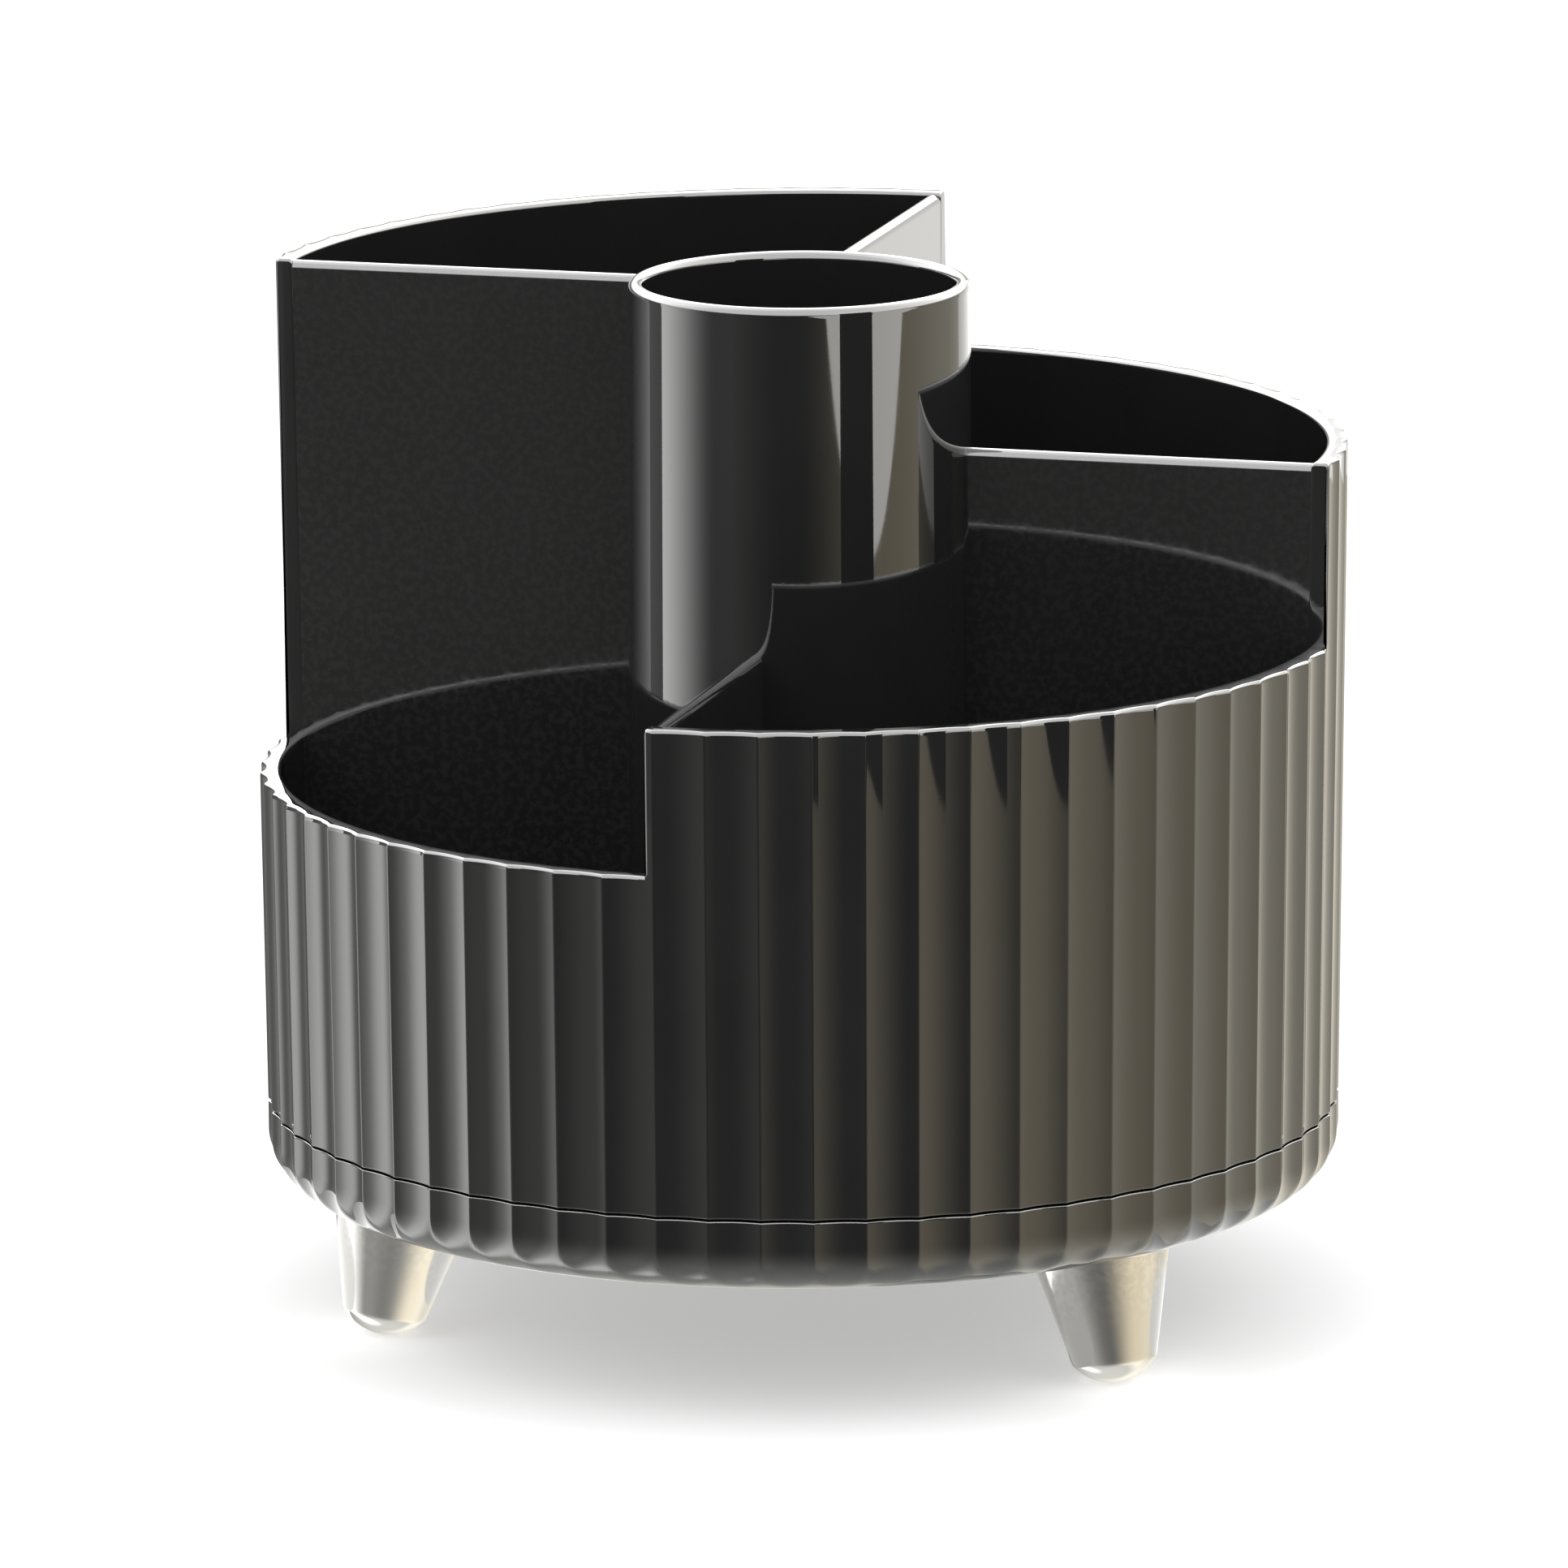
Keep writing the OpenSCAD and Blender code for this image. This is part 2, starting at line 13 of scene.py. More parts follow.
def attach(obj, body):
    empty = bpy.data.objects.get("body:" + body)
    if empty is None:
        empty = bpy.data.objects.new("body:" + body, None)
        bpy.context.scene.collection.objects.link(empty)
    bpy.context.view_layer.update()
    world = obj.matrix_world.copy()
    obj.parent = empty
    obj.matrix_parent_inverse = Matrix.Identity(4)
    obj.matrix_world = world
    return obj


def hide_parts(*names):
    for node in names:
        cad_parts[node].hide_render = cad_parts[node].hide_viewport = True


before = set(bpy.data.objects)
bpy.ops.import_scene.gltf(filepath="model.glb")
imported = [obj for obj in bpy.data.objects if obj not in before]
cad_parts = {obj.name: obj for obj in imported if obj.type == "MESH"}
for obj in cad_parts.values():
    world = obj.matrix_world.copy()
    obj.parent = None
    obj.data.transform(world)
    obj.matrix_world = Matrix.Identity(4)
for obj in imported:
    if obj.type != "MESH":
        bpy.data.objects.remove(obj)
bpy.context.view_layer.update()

# Millimetres and radians, where nothing else is said
MM = 0.001
DEGREES = 180 / math.pi
VIEW_TURN = math.radians(15.45)
SHARP_ANGLE = math.radians(34)
WELD = 1e-4
CHAMFER = 0.3
RIB = 0.8
FOOT_CIRCLE = 60.915

log = logging.getLogger("organizer")


class Body(Enum):
    """Bodies of the frame that pieces ride on."""

    BASE = "base"
    CUP = "cup"


def about_z(points: np.ndarray, angle: float) -> np.ndarray:
    """Turns points, shaped (..., 3), about Z by an angle in radians."""
    x, y, z = np.moveaxis(points, -1, 0)
    c, s = math.cos(angle), math.sin(angle)
    return np.stack([x * c - y * s, x * s + y * c, z], axis=-1)


def foot_turn(index: int) -> float:
    """Azimuth of a foot in radians: the rear one first, then each a third of a turn on."""
    return math.pi / 2 + index * 2 * math.pi / 3


def placed(name: str, data: bpy.types.ID) -> bpy.types.Object:
    """Makes an object of its data and adds it to the scene."""
    made = bpy.data.objects.new(name, data)
    bpy.context.scene.collection.objects.link(made)
    return made


def grid_quads(index: np.ndarray) -> np.ndarray:
    """Quads between the neighbours of a grid of point numbers."""
    corners = [index[:-1, :-1], index[:-1, 1:], index[1:, 1:], index[1:, :-1]]
    return np.stack(corners, axis=-1).reshape(-1, 4)


# Shells: closed surfaces on grids


@dataclass
class Shell:
    """Closed surfaces, in millimetres, that become one mesh object."""

    name: str
    points: list[np.ndarray] = field(default_factory=list)
    faces: list[np.ndarray] = field(default_factory=list)
    count: int = 0

    def loft(self, grid: np.ndarray, round_u: bool = True, round_v: bool = True) -> None:
        """Adds one closed surface given on a grid of points.

        Cell (i, j) is the quad between rows i and i + 1 and columns j and j + 1, wrapped where
        the surface is round that way. Points that fall together are welded, so poles close.
        Faces are turned over as a whole if the enclosed volume comes out negative.

        Args:
            grid: Points, shaped (rows, columns, 3).
            round_u: Whether the last row joins the first.
            round_v: Whether the last column joins the first.
        """
        rows, cols = grid.shape[:2]
        index = np.arange(rows * cols).reshape(rows, cols)
        if round_u:
            index = np.vstack([index, index[:1]])
        if round_v:
            index = np.hstack([index, index[:, :1]])
        self.add(grid.reshape(-1, 3), grid_quads(index))

    def add(self, points: np.ndarray, quads: np.ndarray) -> None:
        """Welds and keeps one closed surface.

        Points that agree to a tenth of a micrometre become one, quads that lose a corner become
        triangles with their last corner repeated, and empty ones are dropped.

        Args:
            points: Points, shaped (n, 3).
            quads: Corner numbers, shaped (m, 4).
        """
        keys = np.round(points / WELD).astype(np.int64)
        _, first, back = np.unique(keys, axis=0, return_index=True, return_inverse=True)
        points = points[first]
        quads = back.reshape(-1)[quads]
        same = quads == np.roll(quads, -1, axis=1)
        whole = quads[same.sum(axis=1) == 0]
        whole = whole[(whole[:, 0] != whole[:, 2]) & (whole[:, 1] != whole[:, 3])]
        thin = same.sum(axis=1) == 1
        turn = (np.argmax(same[thin], axis=1)[:, None] + 1 + np.arange(4)) % 4
        three = np.take_along_axis(quads[thin], turn, axis=1)[:, :3]
        three = three[(three != np.roll(three, -1, axis=1)).all(axis=1)]
        faces = np.vstack([whole, np.hstack([three, three[:, 2:]])])
        a, b, c, d = (points[faces[:, k]] for k in range(4))
        volume = np.einsum("ij,ij->", a, np.cross(b, c)) + np.einsum("ij,ij->", a, np.cross(c, d))
        if volume < 0:
            corners = faces[:, 3] == faces[:, 2]
            faces = np.where(corners[:, None], faces[:, [2, 1, 0, 0]], faces[:, ::-1])
        self.points.append(points)
        self.faces.append(faces + self.count)
        self.count += len(points)

    def box(self, low: tuple, high: tuple, turn: float) -> None:
        """Adds a bar with straight sides, turned about Z.

        Args:
            low: Lowest corner before the turn.
            high: Highest corner before the turn.
            turn: Angle in radians.
        """
        x = [low[0], high[0], high[0], low[0]]
        y = [low[1], low[1], high[1], high[1]]
        ring = np.array([x, y]).T
        mid = np.broadcast_to(ring.mean(axis=0), ring.shape)
        rows = [(mid, low[2]), (ring, low[2]), (ring, high[2]), (mid, high[2])]
        grid = np.stack([np.column_stack([points, np.full(4, z)]) for points, z in rows])
        self.loft(about_z(grid, turn), round_u=False)

    def piece(self, body: Body, material: bpy.types.Material, nodes: tuple) -> bpy.types.Object:
        """Makes the mesh object and reports it to the frame.

        Args:
            body: Body that the piece rides on.
            material: Its finish.
            nodes: CAD nodes that it stands for.

        Returns:
            The object, at the origin and unturned.
        """
        points = np.vstack(self.points) * MM
        faces = np.vstack(self.faces)
        corners = np.where(faces[:, 3] == faces[:, 2], 3, 4)
        flat = faces[np.arange(4)[None, :] < corners[:, None]]
        mesh = bpy.data.meshes.new(self.name)
        mesh.vertices.add(len(points))
        mesh.vertices.foreach_set("co", points.astype(np.float32).ravel())
        mesh.loops.add(len(flat))
        mesh.loops.foreach_set("vertex_index", flat.astype(np.int32))
        mesh.polygons.add(len(faces))
        starts = np.concatenate([[0], np.cumsum(corners)[:-1]])
        mesh.polygons.foreach_set("loop_start", starts.astype(np.int32))
        mesh.update(calc_edges=True)
        mesh.validate()
        mesh.shade_smooth()
        mesh.set_sharp_from_angle(angle=SHARP_ANGLE)
        mesh.materials.append(material)
        made = placed(self.name, mesh)
        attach(made, body.value)
        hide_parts(*nodes)
        log.info("%s: %d faces on %s", self.name, len(faces), body.value)
        return made


def revolved(profile: np.ndarray, columns: int = 192) -> np.ndarray:
    """Grid of a surface of revolution about Z.

    Args:
        profile: Radius and height pairs, shaped (n, 2).
        columns: Steps round the axis.

    Returns:
        Points, shaped (columns, n, 3).
    """
    angle = np.arange(columns) / columns * 2 * np.pi
    radius, height = profile[:, 0], profile[:, 1]
    x = np.cos(angle)[:, None] * radius
    y = np.sin(angle)[:, None] * radius
    return np.stack([x, y, np.broadcast_to(height, x.shape)], axis=-1)


def arc(centre: tuple, radius: float, start: float, end: float, steps: int = 6) -> np.ndarray:
    """Points of an arc in a section: centre + radius (cos a, sin a), a from start to end degrees.

    Args:
        centre: Radius and height of the centre.
        radius: Radius of the arc.
        start: First angle.
        end: Last angle.
        steps: Segments.

    Returns:
        Points, shaped (steps + 1, 2).
    """
    a = np.radians(np.linspace(start, end, steps + 1))
    return np.stack([centre[0] + radius * np.cos(a), centre[1] + radius * np.sin(a)], axis=1)


def ring_section(inner: float, outer: float, root: float, end: float) -> np.ndarray:
    """Section of a ring that stands out of a floor, chamfered at its free end.

    Args:
        inner: Inner radius.
        outer: Outer radius.
        root: Height inside the floor.
        end: Height of the free end.

    Returns:
        Radius and height pairs.
    """
    back = math.copysign(CHAMFER, root - end)
    return np.array([
        [outer, root], [outer, end + back], [outer - CHAMFER, end],
        [inner + CHAMFER, end], [inner, end + back], [inner, root],
    ])


@dataclass(frozen=True)
class Flutes:
    """Concave flutes with softly rounded crests, shared by cup and dish."""

    count: int = 66
    radius: float = 15.0
    depth: float = 0.57
    crest: float = 0.15  # half width of a crest's rounding
    soft: float = 0.02  # depth over which a flute fades where it runs out
    per_flute: int = 12
    width: float = 7.6  # of a flute, along the wall

    @property
    def pitch(self) -> float:
        """Angle of one flute in radians."""
        return 2 * np.pi / self.count

    def columns(self) -> np.ndarray:
        """Azimuths of the mesh's columns, closest together over the crests.

        Returns:
            Angles in radians from 0, one turn, with a crest at every odd half pitch.
        """
        crest = self.crest / self.width
        hollow = np.linspace(-0.5 + crest * 1.6, 0.5 - crest * 1.6, self.per_flute)
        before, after = [-0.5, -0.5 + crest / 2, -0.5 + crest], [0.5 - crest, 0.5 - crest / 2]
        cell = np.concatenate([before, hollow, after])
        return ((np.arange(self.count)[:, None] + cell) * self.pitch).ravel()

    def cut(self, azimuth: np.ndarray, radius: np.ndarray, depth: np.ndarray | float = 1.0) -> np.ndarray:
        """Depth of the surface under the crest circle.

        A cutter of the flute's radius stands at distance radius + flute radius - depth from the
        axis. The surface is its near side, C cos d - sqrt(r r - C C sin d sin d), with d the angle
        from the flute's middle. Within the crest's half width of a cell's edge the slope falls
        linearly to nothing, and where the cut runs out it fades as (x + sqrt(x x + w w)) / 2.

        Args:
            azimuth: Angles in radians.
            radius: Crest circle's radius at each point.
            depth: Depth at a flute's middle as a share of the full depth.

        Returns:
            Depth in millimetres, as broadcast from the arguments.
        """
        angle = (azimuth / self.pitch + 0.5) % 1.0 - 0.5
        angle = np.abs(angle) * self.pitch
        edge = self.pitch / 2 - self.crest / radius
        core = np.minimum(angle, edge)
        reach = radius + self.radius - self.depth * depth
        root = np.sqrt(self.radius**2 - (reach * np.sin(core)) ** 2)
        near = reach * np.cos(core) - root
        slope = reach * np.sin(core) * (reach * np.cos(core) / root - 1)
        over = angle - core
        near = near + slope * (over - over**2 * radius / (2 * self.crest))
        cut = radius - near
        return (cut + np.sqrt(cut**2 + self.soft**2)) / 2


FLUTES = Flutes()


# Fluted cup


@dataclass
class Step:
    """A place where the wall's height changes, at one face of a divider."""

    turn: float
    before: float
    after: float


@dataclass
class FlutedCup:
    """The turning cup: stepped fluted wall, four dividers, brush tube and floor."""

    seam_radius: float = 79.7
    seam_height: float = 32.7
    bottom: float = 33.3
    wall_low: float = 33.0
    draft: float = math.tan(math.radians(0.57))
    heights: tuple = (131.5, 155.2, 82.8, 104.3)
    wall: float = 3.2
    rim_round: float = 0.62
    foot_round: float = 0.22
    step_round: float = 0.5
    divider: float = 2.4
    divider_drop: float = 0.3
    floor: float = 2.4
    tube_radius: float = 25.2
    tube_wall: float = 2.3
    proud: float = 0.015  # of a step's end face over the divider
    wall_radius: float = 80.0  # turns a length along the wall into an angle
    tall_gap: float = 0.012  # angle free of regular columns on a step's taller side
    low_gap: float = 0.006  # the same on its lower side

    def outer(self, z: np.ndarray | float) -> np.ndarray | float:
        """Radius over the crests at a height."""
        return self.seam_radius + (z - self.seam_height) * self.draft

    def wall_columns(self) -> dict[str, np.ndarray]:
        """Columns of the wall's mesh, from just after the first step round to the last.

        Regular columns are radial. At a step there is one column of the lower side and then a
        fan of columns of the higher side, whose outer edge turns in along a quarter circle:
        offset round (1 - cos a) and inset round (1 - sin a).

        Returns:
            Arrays of azimuth, divider azimuth, offset, height, lower height and inset.
        """
        half = self.divider / 2 + self.proud
        azimuth = np.sort(FLUTES.columns() % (2 * np.pi))
        quarter = np.array(self.heights)
        rows = []
        steps = [Step(k * np.pi / 2, quarter[k - 1], quarter[k]) for k in range(4)]
        a = np.radians(np.linspace(0, 90, 7))
        for k, step in enumerate(steps):
            rising = step.after > step.before
            side = -1 if rising else 1
            low, high = sorted((step.before, step.after))
            place = step.turn + side * half / self.wall_radius
            fan = np.stack([
                np.full_like(a, step.turn),
                side * half - side * self.step_round * (1 - np.cos(a)),
                np.full_like(a, high),
                np.full_like(a, low),
                self.step_round * (1 - np.sin(a)),
            ], axis=1)
            alone = np.array([[step.turn, side * half, low, low, 0.0]])
            order = [alone, fan] if rising else [fan[::-1], alone]
            for part in order:
                rows.append(np.column_stack([np.full(len(part), np.nan), part]))
            follow = steps[(k + 1) % 4]
            next_side = -1 if follow.after > follow.before else 1
            start = place + (self.tall_gap if rising else self.low_gap)
            stop = (k + 1) * np.pi / 2 + next_side * half / self.wall_radius
            stop -= self.low_gap if next_side < 0 else self.tall_gap
            free = np.concatenate([azimuth, azimuth + 2 * np.pi])
            free = free[(free > start) & (free < stop)]
            blank = np.zeros_like(free)
            tall = np.full_like(free, quarter[k])
            rows.append(np.stack([free, blank, blank, tall, tall, blank], axis=1))
        table = np.vstack(rows)
        names = ("azimuth", "turn", "offset", "height", "low", "inset")
        return {name: table[:, i] for i, name in enumerate(names)}

    def wall_grid(self) -> np.ndarray:
        """Grid of the whole stepped wall, a section loop carried round the axis.

        Each section runs up the fluted face, over two quarter-round edges with a flat between,
        and down the plain inner face. Levels above a column's rim are drawn down to the rim, so
        the jump between two heights becomes the plain end face of the taller wall.

        Returns:
            Points, shaped (columns, section points, 3).
        """
        col = self.wall_columns()
        high, low = col["height"][:, None], col["low"][:, None]
        inset = col["inset"][:, None]
        ring, blend = self.rim_round, 0.5
        start = self.wall_low + self.foot_round
        levels = [start, start + 0.2, self.bottom + 8]
        for h in sorted(self.heights):
            levels += [h - ring - blend / 2, h - ring, h - ring / 2, h, h + blend / 2, h + blend]
        levels = np.sort(np.array(levels))[None, :]
        top = high - inset - ring
        z_out = np.minimum(levels, top)
        level_inset = inset * np.clip((z_out - low) / blend, 0, 1)
        a = np.radians(np.linspace(0, 90, 8))[None, :]
        b = np.radians(np.linspace(-90, 0, 5))[None, :-1]
        z = np.hstack([
            start + self.foot_round * np.sin(b) + 0 * high,
            z_out,
            top + ring * np.sin(a),
            top + ring * np.sin(a[:, ::-1]),
            np.minimum(levels[:, ::-1], top),
            self.wall_low + 0 * high,
        ])
        n_b, n_l, n_a = b.shape[1], levels.shape[1], a.shape[1]
        rim_inset = np.where(high > low, inset, 0.0)
        outer_in = np.hstack([
            self.foot_round * (1 - np.cos(b)) + 0 * high,
            level_inset,
            rim_inset + ring * (1 - np.cos(a)),
        ])
        section_z = z[:, : n_b + n_l + n_a]
        base = self.outer(section_z)
        azimuth = col["azimuth"][:, None]
        turn, offset = col["turn"][:, None], col["offset"][:, None]
        place = np.where(np.isnan(azimuth), turn + np.arcsin(offset / base), azimuth)
        r_out = base - FLUTES.cut(place, base) - outer_in
        inner_z = z[:, n_b + n_l + n_a:]
        r_in = self.outer(inner_z) - self.wall
        r_in = r_in + np.hstack([
            ring * (1 - np.cos(a[:, ::-1])) + 0 * high,
            np.zeros((len(high), inner_z.shape[1] - n_a)),
        ])
        r = np.hstack([r_out, r_in])
        angle = np.where(np.isnan(azimuth), turn + np.arcsin(offset / r), azimuth)
        return np.stack([r * np.cos(angle), r * np.sin(angle), z], axis=-1)

    def divider_grid(self, turn: float, height: float) -> np.ndarray:
        """Grid of one divider: its arch-topped section carried from the tube into the wall.

        The outer end follows the wall's draft.

        Args:
            turn: Azimuth in radians.
            height: Rim height of the taller pocket beside it.

        Returns:
            Points, shaped (4, section points, 3), with both ends closed to a point.
        """
        half = self.divider / 2
        top = height - self.divider_drop - half
        foot = self.bottom + self.floor / 2
        over = arc((0, top), half, 0, 180, 16)
        up = np.array([[half, foot], [half, foot + 4], [half, top - 0.3]])
        down = up[::-1] * [-1, 1]
        section = np.vstack([up, over, down])
        inner = np.full(len(section), self.tube_radius - self.tube_wall / 2)
        outer = self.outer(section[:, 1]) - self.wall / 2
        middle = (foot + top) / 2
        mid = np.broadcast_to([0.0, middle], section.shape)
        end = np.full(len(section), self.outer(middle) - self.wall / 2)
        rows = [(inner, mid), (inner, section), (outer, section), (end, mid)]
        return about_z(np.stack([np.column_stack([r, points]) for r, points in rows]), turn)

    def tube_profile(self) -> np.ndarray:
        """Closed section of the brush tube, tapered by half the wall's draft, with a round rim.

        Returns:
            Radius and height pairs.
        """
        top = max(self.heights) - self.tube_wall / 2
        foot = self.bottom + self.floor / 2
        lean = self.draft / 2
        wide = self.tube_radius + (top - foot) * lean
        centre = (self.tube_radius - self.tube_wall / 2, top)
        return np.vstack([
            [[wide, foot], [wide - 4 * lean, foot + 4], [self.tube_radius + 0.3 * lean, top - 0.3]],
            arc(centre, self.tube_wall / 2, 0, 180, 18),
            [[self.tube_radius - self.tube_wall, top - 0.3]],
            [[wide - self.tube_wall - 4 * lean, foot + 4], [wide - self.tube_wall, foot]],
        ])

    def floor_profile(self) -> np.ndarray:
        """Section of the floor with its boss, from the axis over the top and back underneath.

        Returns:
            Radius and height pairs that start and end on the axis.
        """
        low, top = self.bottom + 0.02, self.bottom + self.floor
        edge = self.outer(self.bottom) - self.wall / 2
        boss, boss_low, boss_top = 7.0, 31.95, 41.35
        bore, bore_top = 4.22, 39.97
        return np.vstack([
            [[0, boss_top], [boss - 1.0, boss_top]],
            arc((boss - 0.6, boss_top - 0.6), 0.6, 90, 0, 4),
            [[boss, top + 1.2]],
            arc((boss + 0.8, top + 0.8), 0.8, 180, 270, 5),
            [[boss + 1.4, top], [edge - 0.2, top], [edge, top], [edge, low], [boss, low]],
            [[boss, boss_low], [bore, boss_low], [bore, bore_top], [0, bore_top]],
        ])

    def underside(self, shell: Shell) -> None:
        """Adds the skirt, the race seat and the ribs under the floor."""
        top = self.bottom + self.floor / 2
        for inner, outer, low in ((74.0, 75.6, 30.7), (27.4, 40.0, 31.9)):
            shell.loft(revolved(ring_section(inner, outer, top, low)))
        for k in range(12):
            shell.box((41.2, -RIB, 31.3), (74.8, RIB, top), (k + 0.5) * np.pi / 6)

    def build(self, finish: bpy.types.Material) -> bpy.types.Object:
        """Builds the cup as one moulding.

        Args:
            finish: Gloss-black plastic.

        Returns:
            The piece that stands for the CAD cup.
        """
        shell = Shell("fluted_cup_moulding")
        shell.loft(self.wall_grid())
        for k in range(4):
            height = max(self.heights[k], self.heights[k - 1])
            shell.loft(self.divider_grid(k * np.pi / 2, height), round_u=False)
        shell.loft(revolved(self.tube_profile(), 288))
        shell.loft(revolved(self.floor_profile(), 240), round_v=False)
        self.underside(shell)
        return shell.piece(Body.CUP, finish, ("fluted_cup",))


# Base dish and feet


@dataclass
class BaseDish:
    """The fluted dish under the seam, with its hub, seat, ribs and foot bosses."""

    radius: float = 79.7
    top: float = 32.7
    bottom: float = 21.5
    corner: float = 7.0
    wall: float = 3.2
    floor: float = 2.4
    edge_round: float = 0.2
    fade: float = 1.15  # shift of the circle along which the flutes run out

    def outer_rows(self, azimuth: np.ndarray) -> tuple[np.ndarray, np.ndarray]:
        """Fluted rows from the upper edge down and round under the dish.

        Under the straight part the flute's middle follows a circle that is wider than the
        corner's and shifted by the fade, so its depth is corner - t with
        t = sqrt((fade cos b)^2 + path^2 - fade^2) - fade cos b, and the flute runs out.

        Args:
            azimuth: Azimuths of the columns.

        Returns:
            Radii and heights, each shaped (columns, rows).
        """
        az = azimuth[:, None]
        edge = self.edge_round
        a = np.radians(np.linspace(90, 0, 6))[None, :]
        full = FLUTES.cut(az, self.radius)
        r_top = self.radius - full - edge * (1 - np.cos(a))
        z_top = self.top - edge + edge * np.sin(a) + 0 * az
        turn_in = self.bottom + self.corner
        z_side = np.array([[self.top - edge - 0.2, turn_in + 1.0, turn_in + 0.1]])
        r_side = self.radius - full + 0 * z_side
        b = np.radians(np.concatenate([np.linspace(0, 70, 15), np.linspace(74, 90, 5)]))[None, :]
        path = self.corner + self.fade - FLUTES.depth
        t = np.sqrt((self.fade * np.cos(b)) ** 2 + path**2 - self.fade**2) - self.fade * np.cos(b)
        share = (self.corner - t) / FLUTES.depth
        round_r = self.radius - self.corner + self.corner * np.cos(b)
        cut = FLUTES.cut(az, round_r, share)
        cut = cut * np.clip((np.pi / 2 - b) / 0.12, 0, 1)
        r_round = round_r - cut * np.cos(b)
        z_round = turn_in - (self.corner - cut) * np.sin(b)
        r = np.hstack([r_top, r_side, r_round])
        z = np.hstack([z_top, z_side + 0 * az, z_round])
        return r, z

    def inner_profile(self) -> np.ndarray:
        """Plain rest of the section: underside, hub and inner wall, back to the upper edge.

        Returns:
            Radius and height pairs from the foot of the corner inwards, up and out again.
        """
        r_in = self.radius - self.wall
        floor = self.bottom + self.floor
        inner = self.corner - self.floor
        hub, hub_top = 13.0, 31.5
        recess, recess_top, bore = 9.6, 26.7, 5.52
        return np.vstack([
            [[self.radius - self.corner - 0.6, self.bottom], [recess + 0.6, self.bottom]],
            arc((recess + 0.3, self.bottom + 0.3), 0.3, 270, 180, 3),
            [[recess, recess_top], [bore, recess_top], [bore, hub_top], [hub - 0.5, hub_top]],
            arc((hub - 0.5, hub_top - 0.5), 0.5, 90, 0, 4),
            [[hub, floor + 1.0]],
            arc((hub + 0.8, floor + 0.8), 0.8, 180, 270, 5),
            [[hub + 1.4, floor], [r_in - inner - 0.5, floor]],
            arc((r_in - inner, floor + inner), inner, 270, 360, 8),
            [[r_in, floor + inner + 0.2], [r_in, self.top - 0.3]],
            arc((r_in + 0.3, self.top - 0.3), 0.3, 180, 90, 3),
        ])

    def build(self, finish: bpy.types.Material) -> bpy.types.Object:
        """Builds the dish as one moulding.

        Args:
            finish: Gloss-black plastic.

        Returns:
            The piece that stands for the CAD dish.
        """
        shell = Shell("base_dish_moulding")
        azimuth = FLUTES.columns()
        r_out, z_out = self.outer_rows(azimuth)
        rest = np.tile(self.inner_profile(), (len(azimuth), 1, 1))
        r = np.hstack([r_out, rest[..., 0]])
        z = np.hstack([z_out, rest[..., 1]])
        az = azimuth[:, None]
        shell.loft(np.stack([r * np.cos(az), r * np.sin(az), z], axis=-1))
        root = self.bottom + self.floor / 2
        shell.loft(revolved(ring_section(27.4, 40.0, root, 25.3)))
        for k in range(6):
            shell.box((6.5, -RIB, root), (72.7, RIB, 25.28), (k + 0.5) * np.pi / 3)
        side, end = 7.0, 25.5
        section = np.array([[0, root], [side, root], [side, end - CHAMFER], [side - CHAMFER, end], [0, end]])
        boss = revolved(section, 72) + [FOOT_CIRCLE, 0.0, 0.0]
        for k in range(3):
            shell.loft(about_z(boss, foot_turn(k)), round_v=False)
        return shell.piece(Body.BASE, finish, ("base_dish",))


